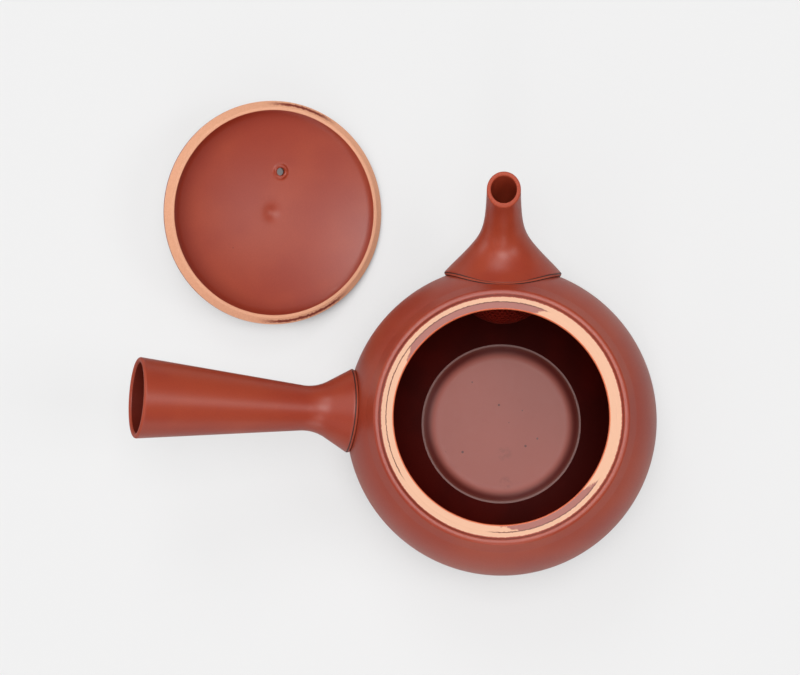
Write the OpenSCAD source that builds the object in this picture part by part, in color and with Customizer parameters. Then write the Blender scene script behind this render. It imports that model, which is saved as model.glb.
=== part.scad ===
// Side-handled clay teapot: thrown pot, spout, hollow handle, pierced strainer, loose lid with a ball knob.
// The pot stands on z = 0 with its axis on the Z axis and its spout towards +Y.
// The lid lies upside down beside it, resting on its knob and on its edge.

/* [Pot] */
// Widest diameter of the pot
body_d = 106; // [96:1:120]
// Height of the lip round the mouth
rim_z = 62; // [58:0.5:68]
// Height of the widest place as a part of the pot's height
belly_part = 0.565; // [0.54:0.005:0.58]
// Radius of the pot's rounded side as a part of the pot's height
side_part = 0.585; // [0.57:0.005:0.62]
// Height of the low foot
foot_h = 1.5; // [1:0.1:2.5]
// Step from the pot's side in to the foot
foot_in = 0.8; // [0.4:0.1:2]
// Clay wall at the widest place
wall = 3.6; // [3:0.1:4.4]
// Thickness of the floor
floor_t = 3.8; // [3:0.1:5]
// Distance from the edge of the foot in to the edge of the sunk floor
floor_in = 5.5; // [4:0.1:8]
// Depth of the step from the inner wall down to the floor
floor_step = 1.7; // [1:0.1:2.5]
// Width of that step
floor_step_w = 3.1; // [2:0.1:4]
// Width of the flat ridge between the step and the inner wall
ridge_w = 0.6; // [0.3:0.1:1.2]

/* [Mouth] */
// Width of the flat ring that the lid rests on
seat_w = 2.4; // [2.2:0.1:3]
// Width of the sloped band round that ring
seat_slope_w = 1.8; // [1.4:0.1:2.4]
// Depth of the lid ring below the lip
seat_depth = 0.7; // [0.4:0.05:0.8]
// Width of the flat lip
lip_w = 0.9; // [0.6:0.1:2]
// Height of the straight throat under the lid ring
throat_h = 3.4; // [2.4:0.1:5]

/* [Joints in the clay] */
// Thickness of the slip that fixes the spout, the handle and the knob
slip_t = 1.4; // [0.8:0.1:2]
// Depth of the groove along those slip seams
slip_groove = 0.35; // [0.1:0.05:0.6]

/* [Spout] */
// Turn of the spout about the pot, from +Y towards +X
spout_turn = 0.8; // [-10:0.1:10]
// Distance from the pot's side to the middle of the spout's mouth
spout_out = 22.4; // [20:0.2:24]
// Height of the spout's mouth above the lip
spout_above = 6.5; // [4:0.5:9]
// Diameter of the narrow end
spout_d = 10; // [8:0.1:12]
// Clay wall at the narrow end
spout_wall = 1.3; // [1:0.05:1.6]
// Extra wall for each millimetre that the spout widens
spout_wall_gain = 0.1; // [0.06:0.01:0.14]
// Radius of the bend of the spout's axis
spout_bend_r = 51; // [49:0.5:55]
// Angle of the axis above level at the mouth
spout_rise = 70; // [66:0.5:74]
// Angle of the axis above level where the spout starts, inside the pot's outline
spout_start = 17; // [15:0.5:20]
// Angle by which the first section stands steeper than square to the axis
spout_lean = 17; // [12:0.5:19]
// Part by which the first section is lower than it is wide
spout_squash = 0.2; // [0.14:0.01:0.24]
// Distance from the pot's side at which the flare sets in
flare_out = 8.5; // [7.5:0.1:9.5]
// Widening of the flare for each millimetre towards the pot
flare_rate = 1.27; // [1.2:0.01:1.32]
// Softness of the change from tube to flare
flare_blend = 7; // [5:0.1:8]
// Easing of the flare inside the pot's outline, for each square millimetre
flare_ease = 0.04; // [0.03:0.005:0.045]

/* [Strainer] */
// Height of the middle of the strainer above the start of the spout's axis
strainer_up = 0.8; // [-1:0.1:2]
// Diameter of the hole through the pot's wall
strainer_hole_d = 25; // [20:0.5:26]
// Width by which the dome reaches past that hole
dome_over = 4.5; // [3.8:0.1:5.5]
// Clay wall of the dome
dome_wall = 2; // [1.6:0.1:2.6]
// Distance from the inner wall out to the middle of the dome
dome_out = 0.4; // [-1:0.1:1]
// Diameter of each drain hole
drain_d = 1.2; // [0.8:0.1:1.6]
// Spacing of the drain holes
drain_pitch = 2.8; // [2.4:0.1:3.2]
// Rings of drain holes round the middle one
drain_rings = 4; // [1:1:5]

/* [Handle] */
// Turn of the handle about the pot, from -X towards the spout
handle_turn = 2.8; // [-5:0.1:12]
// Shift of the handle's axis aside from the pot's axis, towards the spout
handle_aside = 0.5; // [-2:0.1:2]
// Angle of the handle above level
handle_rise = 18.5; // [12:0.5:24]
// Depth below the widest place at which the handle's axis meets the pot's axis
handle_drop = 11.5; // [8:0.5:14]
// Length of the handle along its axis, counted from the radius of the pot's side
handle_len = 74.5; // [62:0.5:90]
// Diameter of the open end
handle_end_d = 27.2; // [22:0.1:32]
// Distance of the waist along the axis, counted in the same way
waist_out = 17; // [14:0.5:22]
// Diameter of the waist
waist_d = 15.3; // [13:0.1:18]
// Angle of the flare towards the pot
handle_flare = 30; // [24:0.5:32]
// Radius of the hollow of the waist
waist_round = 15; // [8:0.5:20]
// Clay wall of the handle
handle_wall = 1.7; // [1.5:0.1:3]

/* [Lid] */
// Gap round the edge of the lid to the edge of the sloped band
lid_play = 0.8; // [0.6:0.05:1.2]
// Distance from the edge of the flat ring in the mouth to the edge of the lid's own ring
lid_ring_in = 1.2; // [1:0.05:1.3]
// Width of the flat ring on which the lid stands
lid_flat_w = 0.9; // [0.6:0.1:1]
// Height of the bevel round that ring
lid_bevel_h = 1.6; // [1.4:0.1:2]
// Height of the top of the lid above its standing ring
lid_h = 8; // [7:0.1:10]
// Height at which the dome meets the edge of the lid
lid_edge_h = 3.7; // [3.5:0.1:4.4]
// Radius of the rounded edge of the lid
lid_edge_round = 1.2; // [0.8:0.1:1.4]
// Clay wall in the middle of the lid
lid_wall = 3; // [2.4:0.1:4]
// Height of the steep wall inside the rim
lid_inside_step = 1.8; // [1.2:0.1:2.2]
// Draw-in of that wall
lid_inside_draw = 1.4; // [0.8:0.1:2]
// Distance of the steam hole from the middle
vent_reach = 14.9; // [11:0.1:22]
// Diameter of the steam hole
vent_d = 2.8; // [2:0.1:4]
// Turn of the steam hole on the lid, as the lid lies
vent_turn = 78; // [0:1:359]

/* [Knob] */
// Diameter of the ball
knob_d = 11; // [9:0.1:14]
// Depth by which the ball sinks below the top of the lid
knob_sink = 2; // [1.7:0.1:3]

/* [Lid beside the pot] */
// Clear width between the pot's side and the lid's edge, seen from above
lid_clear = 16; // [14:0.5:30]
// Direction of the lid from the pot, from +X towards +Y
lid_bearing = 137; // [125:0.5:145]
// Direction in which the lid leans
lid_lean_bearing = -18; // [-60:1:60]

/* [Hidden] */
$fn = 96;
// Facets of the very wide circles of the lid
wide_fn = 480;

clay = "#96483a";
clay_dark = "#6f3026";
slip = "#844036";
eps = 0.5;

// Pot outline: one arc, upright at the widest place, from the foot to the lip
function arc_r(out, drop) = (out * out + drop * drop) / (2 * out);
body_r = body_d / 2;
belly_z = belly_part * rim_z;
side_r = side_part * rim_z;
function side_at(z) = body_r - side_r + sqrt(pow(side_r, 2) - pow(z - belly_z, 2));
base_r = side_at(foot_h) - foot_in;
side_steps = 28;

// Mouth: from the lip in to the throat
lip_r = side_at(rim_z);
gallery_r = lip_r - lip_w;
seat_r = gallery_r - seat_slope_w;
mouth_r = seat_r - seat_w;
seat_z = rim_z - seat_depth;
throat_z = seat_z - throat_h;

// Cavity outline: one arc too, down to the ridge round the sunk floor
cave_r = body_r - wall;
floor_r = base_r - floor_in;
step_r = floor_r + floor_step_w;
ridge_z = floor_t + floor_step;
cave_side_r = arc_r(cave_r - step_r - ridge_w, belly_z - ridge_z);

// Spout axis: an arc in the plane of +Y, that runs on past the mouth, where it is cut level
spout_over = 8;
spout_past = spout_rise + spout_over;
spout_rings = 24;
spout_sides = 40;
seam_rings = 12;
spout_reach = body_r + spout_out;
spout_tip_z = rim_z + spout_above;
flare_reach = body_r + flare_out;
function spout_angle(i) = spout_start + (spout_past - spout_start) * i / spout_rings;
function spout_y(a) = spout_reach - spout_bend_r * (sin(spout_rise) - sin(a));
function spout_z(a) = spout_tip_z - spout_bend_r * (cos(a) - cos(spout_rise));
function spout_back(a) = pow(max(0, (spout_rise - a) / (spout_rise - spout_start)), 2);
function spout_tilt(a) = a - spout_lean * spout_back(a);
function flare(y) = flare_rate * (flare_reach - y);
function eased(y) = flare_ease * pow(max(0, body_r - y), 2);
function spout_r(y) = spout_d / 2 + (flare(y) + norm([flare(y), flare_blend])) / 2 - eased(y);
function spout_wall_at(y) = spout_wall + spout_wall_gain * (spout_r(y) - spout_d / 2);

// Strainer: a dome over the hole at the start of the spout
strainer_z = spout_z(spout_start) + strainer_up;
dome_reach = cave_r + dome_out;
dome_r = strainer_hole_d / 2 + dome_over;

// Handle outline along its own axis
handle_z = belly_z - handle_drop;
handle_reach = body_r + handle_len;
waist_reach = body_r + waist_out;
taper = atan((handle_end_d - waist_d) / 2 / (handle_reach - waist_reach));

// Lid outline, with its standing ring on z = 0 and its knob up
lid_r = gallery_r - lid_play;
lid_flat_r = seat_r - lid_ring_in;
lid_inside_r = lid_flat_r - lid_flat_w;
lid_dome_r = arc_r(lid_h - lid_edge_h, lid_r);
lid_dome_z = lid_h - lid_dome_r;
edge_r = lid_r - lid_edge_round;
edge_z = lid_dome_z + sqrt(pow(lid_dome_r - lid_edge_round, 2) - pow(edge_r, 2));
lid_ceiling_h = lid_h - lid_wall;
lid_ceiling_edge_r = lid_inside_r - lid_inside_draw;
lid_ceiling_r = arc_r(lid_ceiling_h - lid_inside_step, lid_ceiling_edge_r);

// Knob: a ball that stands on the dome with its slip between them
knob_r = knob_d / 2;
knob_z = lid_h - knob_sink + knob_r;

// Lean at which the ball and the rounded edge of the upturned lid both touch z = 0
lid_lean = asin((knob_r - lid_edge_round) / norm([edge_r, knob_z - edge_z])) + atan((knob_z - edge_z) / edge_r);
lid_rest_z = knob_r + knob_z * cos(lid_lean);
lid_away = body_r + lid_r + lid_clear;

// Half outline with a round side that is upright at the widest place, from the height low to the height high
module belly_outline(widest, curve, low, high) {
    from = asin((low - belly_z) / curve);
    to = asin((high - belly_z) / curve);
    side = [for (i = [0 : side_steps])
        let (a = from + (to - from) * i / side_steps)
        [widest - curve + curve * cos(a), belly_z + curve * sin(a)]];
    polygon(concat([[0, low]], side, [[0, high]]));
}

module pot_outline(grow = 0) {
    belly_outline(body_r + grow, side_r + grow, foot_h, rim_z);
}

module cave_outline(shrink = 0) {
    belly_outline(cave_r - shrink, cave_side_r - shrink, ridge_z, throat_z);
}

// The pot as if it were solid, grown by the thickness of the slip where needed
module pot_solid(grow = 0) {
    rotate_extrude()
        pot_outline(grow);
}

// The room inside the pot, shrunk by the thickness of the slip where needed
module cave_solid(shrink = 0) {
    rotate_extrude()
        cave_outline(shrink);
}

// Sunk floor, throat and lid seat
module mouth_and_floor_outline() {
    polygon([[0, floor_t], [floor_r, floor_t], [step_r, ridge_z], [step_r, ridge_z + eps], [0, ridge_z + eps]]);
    translate([0, throat_z - eps])
        square([mouth_r, rim_z - throat_z + eps]);
    polygon([[0, seat_z], [seat_r, seat_z], [gallery_r, rim_z], [gallery_r, rim_z + eps], [0, rim_z + eps]]);
}

// Places a child on the spout's side: its Y axis runs out along the spout
module at_spout() {
    rotate([0, 0, -spout_turn])
        children();
}

module spout_hole() {
    at_spout()
        translate([0, 0, strainer_z])
            rotate([-90, 0, 0])
                cylinder(d = strainer_hole_d, h = body_r + eps);
}

module pot_body() {
    color(clay)
        difference() {
            rotate_extrude()
                difference() {
                    union() {
                        pot_outline();
                        square([base_r, foot_h + eps]);
                    }
                    cave_outline();
                    mouth_and_floor_outline();
                }
            spout_hole();
        }
}

// One section of the spout, thinner than the spout by the inset and the given part of its wall
function spout_ring(a, inset, hollow) =
    let (y = spout_y(a), t = spout_tilt(a),
         wide = spout_r(y) - inset - hollow * spout_wall_at(y),
         tall = wide - spout_squash * spout_back(a) * spout_r(y))
    [for (k = [0 : spout_sides - 1])
        let (b = 360 * k / spout_sides)
        [wide * cos(b), y - tall * sin(b) * sin(t), spout_z(a) + tall * sin(b) * cos(t)]];

// A closed tube through those sections, from the first to the last one wanted
module spout_tube(inset = 0, hollow = 0, last = spout_rings) {
    rings = [for (i = [0 : last]) each spout_ring(spout_angle(i), inset, hollow)];
    sides = [for (i = [0 : last - 1], k = [0 : spout_sides - 1])
        let (p = i * spout_sides, m = (k + 1) % spout_sides)
        each [[p + k, p + m, p + spout_sides + m], [p + k, p + spout_sides + m, p + spout_sides + k]]];
    near = [for (k = [spout_sides - 1 : -1 : 0]) k];
    far = [for (k = [0 : spout_sides - 1]) last * spout_sides + k];
    polyhedron(points = rings, faces = concat([near], sides, [far]));
}

module above_spout_mouth() {
    translate([-body_r, 0, spout_tip_z])
        cube([body_d, 2 * spout_reach, body_d]);
}

module spout() {
    color(clay)
        difference() {
            at_spout()
                difference() {
                    spout_tube();
                    spout_tube(hollow = 1);
                    above_spout_mouth();
                }
            pot_solid(slip_t);
        }
}

module spout_slip_seam() {
    color(slip)
        difference() {
            intersection() {
                at_spout()
                    difference() {
                        spout_tube(inset = slip_groove, last = seam_rings);
                        spout_tube(hollow = 1, last = seam_rings + 1);
                    }
                pot_solid(slip_t);
            }
            pot_solid();
        }
}

// The strainer's place: its own axis points into the pot
module at_strainer() {
    at_spout()
        translate([0, dome_reach, strainer_z])
            rotate([90, 0, 0])
                children();
}

module dome_shell(inset = 0) {
    difference() {
        sphere(dome_r - inset);
        sphere(dome_r - dome_wall + inset);
    }
}

// One hole through the middle of the dome's wall
module drain_hole() {
    translate([0, 0, dome_r - dome_wall - eps])
        cylinder(d = drain_d, h = dome_wall + 2 * eps, $fn = 24);
}

// Rings of holes, each square to the dome
module drain_holes() {
    step = drain_pitch / dome_r * 180 / PI;
    drain_hole();
    for (ring = [1 : drain_rings], k = [1 : 6 * ring])
        rotate([0, 0, 60 * k / ring])
            rotate([0, ring * step, 0])
                drain_hole();
}

module strainer() {
    color(clay_dark)
        difference() {
            intersection() {
                at_strainer()
                    dome_shell();
                cave_solid(slip_t);
            }
            at_strainer()
                drain_holes();
        }
}

module strainer_slip_seam() {
    color(slip)
        difference() {
            intersection() {
                at_strainer()
                    dome_shell(slip_groove);
                cave_solid();
            }
            cave_solid(slip_t);
        }
}

// Half outline of the handle, its axis upright, set in from the surface by the inset
module handle_outline(inset, past = 0) {
    r = waist_d / 2 - inset;
    bend = waist_round + inset;
    start = waist_reach / 2;
    below = waist_reach - bend * sin(handle_flare);
    flare_foot = r + bend * (1 - cos(handle_flare)) + (below - start) * tan(handle_flare);
    end_r = handle_end_d / 2 - inset;
    polygon(concat(
        [[0, start], [flare_foot, start]],
        [for (a = [handle_flare : -handle_flare / 8 : -taper])
            [r + bend * (1 - cos(a)), waist_reach - bend * sin(a)]],
        [[end_r, handle_reach], [end_r, handle_reach + past], [0, handle_reach + past]]));
}

// Wall of the handle with a rounded lip at its open end
module handle_section(groove) {
    difference() {
        union() {
            handle_outline(groove);
            translate([handle_end_d / 2 - handle_wall / 2, handle_reach])
                circle(handle_wall / 2);
        }
        handle_outline(handle_wall, handle_wall);
    }
}

module handle_tube(groove = 0) {
    rotate([0, 0, -handle_turn])
        translate([0, handle_aside, handle_z])
            rotate([0, handle_rise - 90, 0])
                rotate_extrude()
                    handle_section(groove);
}

module handle() {
    color(clay)
        difference() {
            handle_tube();
            pot_solid(slip_t);
        }
}

module handle_slip_seam() {
    color(slip)
        difference() {
            intersection() {
                handle_tube(slip_groove);
                pot_solid(slip_t);
            }
            pot_solid();
        }
}

// The lid's dome, grown by the thickness of the slip where needed
module dome_outline(grow = 0) {
    translate([0, lid_dome_z])
        circle(lid_dome_r + grow, $fn = wide_fn);
}

module lid_outline() {
    touch_r = edge_r * lid_dome_r / (lid_dome_r - lid_edge_round);
    intersection() {
        dome_outline();
        square([touch_r, lid_h]);
    }
    translate([edge_r, edge_z])
        circle(lid_edge_round);
    polygon([[0, 0], [lid_flat_r, 0], [lid_r, lid_bevel_h], [lid_r, edge_z], [0, edge_z]]);
}

module lid_hollow_outline() {
    intersection() {
        translate([0, lid_ceiling_h - lid_ceiling_r])
            circle(lid_ceiling_r, $fn = wide_fn);
        polygon([[0, -eps], [lid_inside_r, -eps], [lid_inside_r, 0], [lid_ceiling_edge_r, lid_inside_step],
                 [lid_ceiling_edge_r, lid_h], [0, lid_h]]);
    }
}

// Where the upturned lid lies: its rim's middle, its lean and the turn of its steam hole
module beside_pot() {
    translate([lid_away * cos(lid_bearing), lid_away * sin(lid_bearing), lid_rest_z])
        rotate([0, 0, lid_lean_bearing])
            rotate([0, 180 + lid_lean, 0])
                rotate([0, 0, 180 + lid_lean_bearing - vent_turn])
                    children();
}

module lid() {
    color(clay)
        beside_pot()
            difference() {
                rotate_extrude()
                    difference() {
                        lid_outline();
                        lid_hollow_outline();
                    }
                translate([vent_reach, 0, 0])
                    cylinder(d = vent_d, h = lid_h + eps);
            }
}

// Half outline of the ball, set in from its surface by the inset
module knob_outline(inset = 0) {
    intersection() {
        translate([0, knob_z])
            circle(knob_r - inset);
        translate([0, knob_z - knob_r])
            square(2 * knob_r);
    }
}

module lid_knob() {
    color(clay)
        beside_pot()
            rotate_extrude()
                difference() {
                    knob_outline();
                    dome_outline(slip_t / 2);
                }
}

module knob_slip_seam() {
    color(slip)
        beside_pot()
            rotate_extrude()
                difference() {
                    intersection() {
                        knob_outline(slip_groove);
                        dome_outline(slip_t / 2);
                    }
                    dome_outline();
                }
}

pot_body();
spout();
spout_slip_seam();
strainer();
strainer_slip_seam();
handle();
handle_slip_seam();
lid();
lid_knob();
knob_slip_seam();
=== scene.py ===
"""Dresses a side-handled red clay teapot whose lid lies upside down beside it.

Sizes in this file are in millimetres and angles in degrees. Meshes are written in metres, in the frame of the
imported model: the pot stands on z = 0, its axis is the Z axis, and its spout points to +Y.
"""

from __future__ import annotations

import logging
import math
from dataclasses import dataclass, field
from enum import Enum
from typing import Callable, Sequence, Union

import bmesh
import bpy
import numpy as np
from mathutils import Matrix, Vector


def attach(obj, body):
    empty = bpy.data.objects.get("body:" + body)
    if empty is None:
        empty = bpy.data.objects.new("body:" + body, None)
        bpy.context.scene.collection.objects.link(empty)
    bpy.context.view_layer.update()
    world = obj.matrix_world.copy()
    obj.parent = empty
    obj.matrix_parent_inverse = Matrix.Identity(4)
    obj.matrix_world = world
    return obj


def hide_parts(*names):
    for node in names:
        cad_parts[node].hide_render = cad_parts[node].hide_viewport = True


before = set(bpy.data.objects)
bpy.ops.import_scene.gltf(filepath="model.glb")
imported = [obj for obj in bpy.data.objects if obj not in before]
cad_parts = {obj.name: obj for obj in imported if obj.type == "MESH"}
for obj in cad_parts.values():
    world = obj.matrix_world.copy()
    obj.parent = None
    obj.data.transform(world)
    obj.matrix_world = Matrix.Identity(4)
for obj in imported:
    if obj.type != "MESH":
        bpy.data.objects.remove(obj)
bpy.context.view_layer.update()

logging.basicConfig(level=logging.INFO, format="%(message)s")
log = logging.getLogger("teapot")

MM = 0.001
# Names of the numbers that are stored on meshes
CREASE = "crease"
INSIDE = "inside"
# Steps of a search, least turn of a corner in radians and least distance of two points
HALVINGS = 48
STRAIGHT = 1e-3
DOUBLE = 1e-3
# Parts of a wall between which the finish of its outside gives way to that of its inside
MIDWALL = (0.4, 0.6)

Point = tuple[float, float]
Triple = tuple[float, float, float]
Piece = bpy.types.Object
Socket = bpy.types.NodeSocket
Value = Union[Socket, float, Triple]


class Body(Enum):
    """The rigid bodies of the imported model."""

    POT = "pot"
    LID = "lid"


class Slot(Enum):
    """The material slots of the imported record."""

    CLAY = "clay"
    DARK_CLAY = "dark_clay"
    SLIP = "slip"


def srgb(red: int, green: int, blue: int) -> Triple:
    """Turns a colour as it is seen on a screen, from 0 to 255, into linear light from 0 to 1."""
    parts = (value / 255 for value in (red, green, blue))
    return tuple(part / 12.92 if part <= 0.04045 else ((part + 0.055) / 1.055) ** 2.4 for part in parts)


def grey(tone: float) -> Triple:
    """A grey in linear light."""
    return (tone, tone, tone)


# Outlines and meshes


def circle(columns: int) -> np.ndarray:
    """Even angles round an axis, in radians."""
    return np.linspace(0, 2 * np.pi, columns, endpoint=False)


def unit(vectors: np.ndarray) -> np.ndarray:
    """The vectors, each with length 1."""
    return vectors / np.linalg.norm(vectors, axis=1, keepdims=True)


def arc(middle: Point, radius: float, start: float, end: float, steps: int) -> list[Point]:
    """Samples a circular arc from one angle to another in straight pieces, both ends included."""
    angles = np.radians(np.linspace(start, end, steps + 1))
    return [(middle[0] + radius * math.cos(a), middle[1] + radius * math.sin(a)) for a in angles]


def rounded(line: Sequence[Point], radii: Sequence[float], steps: int = 6) -> list[Point]:
    """Rounds the inner corners of a bent line.

    Args:
        line: Points of the line.
        radii: Radius of the rounding at each point between the ends.
        steps: Straight pieces in each rounding.

    Returns:
        The points of the rounded line.
    """
    points = [line[0]]
    for before, here, after, radius in zip(line, line[1:], line[2:], radii):
        at = Vector(here)
        to_start = (Vector(before) - at).normalized()
        to_end = (Vector(after) - at).normalized()
        turn = to_start.angle(to_end)
        if math.pi - turn < STRAIGHT:
            points.append(here)
            continue
        reach = radius / math.tan(turn / 2)
        middle = at + (to_start + to_end).normalized() * radius / math.sin(turn / 2)
        first = at + to_start * reach - middle
        sweep = first.angle_signed(at + to_end * reach - middle)
        for i in range(steps + 1):
            spoke = first.copy()
            spoke.rotate(Matrix.Rotation(-sweep * i / steps, 2))
            points.append(tuple(middle + spoke))
    return [*points, line[-1]]


def spread(line: Sequence[Point], step: float) -> list[Point]:
    """Adds points to a line so that no piece is longer than a step.

    Args:
        line: Points of the line.
        step: Longest piece allowed.

    Returns:
        The line with the points added.
    """
    dense = [line[0]]
    for (x, y), (end_x, end_y) in zip(line, line[1:]):
        pieces = max(1, math.ceil(math.hypot(end_x - x, end_y - y) / step))
        for part in np.arange(1, pieces + 1) / pieces:
            dense.append((x + (end_x - x) * part, y + (end_y - y) * part))
    return dense


def turned(outline: Sequence[Point], columns: int) -> np.ndarray:
    """Turns a half outline about the Z axis.

    Args:
        outline: Radius and height of each point.
        columns: Points round the axis.

    Returns:
        Rings of points, one for each point of the outline.
    """
    around = circle(columns)
    radius, height = np.array(outline, float).T[:, :, None]
    parts = np.broadcast_arrays(radius * np.cos(around), radius * np.sin(around), height)
    return np.stack(parts, axis=-1)


def solve(height: Callable[[np.ndarray], np.ndarray], count: int, low: float, high: float) -> np.ndarray:
    """Finds where rising functions pass zero.

    Args:
        height: The functions, called with one place for each of them.
        count: Number of functions.
        low: A place where all are below zero.
        high: A place where all are above zero.

    Returns:
        The place of each zero.
    """
    lows, highs = np.full(count, float(low)), np.full(count, float(high))
    for _ in range(HALVINGS):
        middle = (lows + highs) / 2
        above = height(middle) > 0
        lows, highs = np.where(above, lows, middle), np.where(above, middle, highs)
    return (lows + highs) / 2


def skin(name: str, rings: np.ndarray, loop: bool = False) -> Piece:
    """Makes one closed smooth mesh through rings of points.

    Args:
        name: Name of the piece.
        rings: Points, as rings by points by three.
        loop: Whether the last ring joins the first one. Otherwise both are poles.

    Returns:
        The new object, at the origin.
    """
    count, around, _ = rings.shape
    number = np.arange(count * around).reshape(count, around)
    if loop:
        number = np.vstack([number, number[:1]])
    after = np.roll(number, -1, axis=1)
    faces = np.stack([number[:-1], after[:-1], after[1:], number[1:]], axis=-1).reshape(-1, 4)
    mesh = bpy.data.meshes.new(name)
    mesh.from_pydata((rings.reshape(-1, 3) * MM).tolist(), [], faces.tolist())
    work = bmesh.new()
    work.from_mesh(mesh)
    bmesh.ops.remove_doubles(work, verts=work.verts, dist=DOUBLE * MM)
    bmesh.ops.recalc_face_normals(work, faces=work.faces)
    for face in work.faces:
        face.smooth = True
    work.to_mesh(mesh)
    work.free()
    piece = bpy.data.objects.new(name, mesh)
    bpy.context.scene.collection.objects.link(piece)
    return piece


def mark(piece: Piece, name: str, values: np.ndarray) -> None:
    """Stores one number for each point of a piece, under a name by which a finish finds it."""
    layer = piece.data.attributes.new(name, "FLOAT", "POINT")
    layer.data.foreach_set("value", np.asarray(values, dtype=np.float32))


def placed(points: np.ndarray, place: Matrix) -> np.ndarray:
    """Moves points by a matrix whose translation is in millimetres."""
    return points @ np.array(place.to_3x3()).T + np.array(place.translation)


def settle(piece: Piece, modifier: bpy.types.Modifier) -> None:
    """Replaces a piece's mesh by what its only modifier makes of it.

    Args:
        piece: The piece.
        modifier: The modifier, which is removed.
    """
    bpy.context.view_layer.update()
    graph = bpy.context.evaluated_depsgraph_get()
    mesh = bpy.data.meshes.new_from_object(piece.evaluated_get(graph))
    piece.modifiers.remove(modifier)
    piece.data = mesh


def drill(piece: Piece, radius: float, start: Vector, end: Vector, sides: int) -> None:
    """Drills a round hole through a piece.

    Args:
        piece: The piece.
        radius: Radius of the hole.
        start: Middle of its first end.
        end: Middle of its last end.
        sides: Points round it.
    """
    length = (end - start).length
    rings = turned([(0, 0), (radius, 0), (radius, length), (0, length)], sides)
    turn = (end - start).to_track_quat("Z", "Y").to_matrix().to_4x4()
    rod = skin("drill", placed(rings, Matrix.Translation(start) @ turn))
    modifier = piece.modifiers.new("hole", "BOOLEAN")
    modifier.operation = "DIFFERENCE"
    modifier.solver = "MANIFOLD"
    modifier.object = rod
    settle(piece, modifier)
    piece.data.materials.clear()
    for face in piece.data.polygons:
        face.use_smooth = True
    bpy.data.objects.remove(rod)


# Nodes


@dataclass(frozen=True)
class Ramp:
    """A soft change of a value between two places, which may be measured from an edge."""

    start: float
    end: float
    first: float = 0
    last: float = 1


@dataclass(frozen=True)
class Stripe:
    """A soft-edged stripe whose middle lies off an edge."""

    off: float
    half: float
    soft: float
    share: float = 1


@dataclass(frozen=True)
class Grain:
    """A noise: scale for each millimetre, finer layers, their strength, and swing where it moves an edge."""

    scale: float
    detail: float = 3
    rough: float = 0.5
    swing: float = 0


@dataclass(frozen=True)
class Specks:
    """Round specks: mean distance, largest radius, share of places that hold one, and how sharp they end."""

    pitch: float
    size: float
    share: float
    sharp: float = 4


class Nodes:
    """A node tree, with short calls that add and join its nodes."""

    def __init__(self, tree: bpy.types.NodeTree) -> None:
        """Takes on a tree."""
        self.tree = tree

    def add(self, kind: str, inputs: dict[str | int, Value] | None = None, **settings: object) -> bpy.types.Node:
        """Adds a node.

        Args:
            kind: Type name of the node.
            inputs: Sockets or values for its inputs, by name or number.
            settings: Values of its properties.

        Returns:
            The node.
        """
        node = self.tree.nodes.new(kind)
        for key, value in settings.items():
            setattr(node, key, value)
        for key, value in (inputs or {}).items():
            socket = node.inputs[key]
            if isinstance(value, Socket):
                self.tree.links.new(value, socket)
            else:
                socket.default_value = (*value, 1) if socket.type == "RGBA" else value
        return node

    def math(self, operation: str, *values: Value, clamp: bool = False) -> Socket:
        """The result of a math node."""
        return self.add("ShaderNodeMath", dict(enumerate(values)), operation=operation, use_clamp=clamp).outputs[0]

    def plus(self, first: Value, second: Value) -> Socket:
        """The sum of two values."""
        return self.math("ADD", first, second)

    def minus(self, first: Value, second: Value) -> Socket:
        """The difference of two values."""
        return self.math("SUBTRACT", first, second)

    def times(self, product: Value, *values: Value) -> Value:
        """The product of values."""
        for value in values:
            product = self.math("MULTIPLY", product, value)
        return product

    def for_camera(self, seen: bpy.types.Node, other: bpy.types.Node) -> Socket:
        """One shader for what the camera sees and another one for all other light."""
        camera = self.add("ShaderNodeLightPath").outputs["Is Camera Ray"]
        return self.add("ShaderNodeMixShader", {0: camera, 1: other.outputs[0], 2: seen.outputs[0]}).outputs[0]


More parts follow.
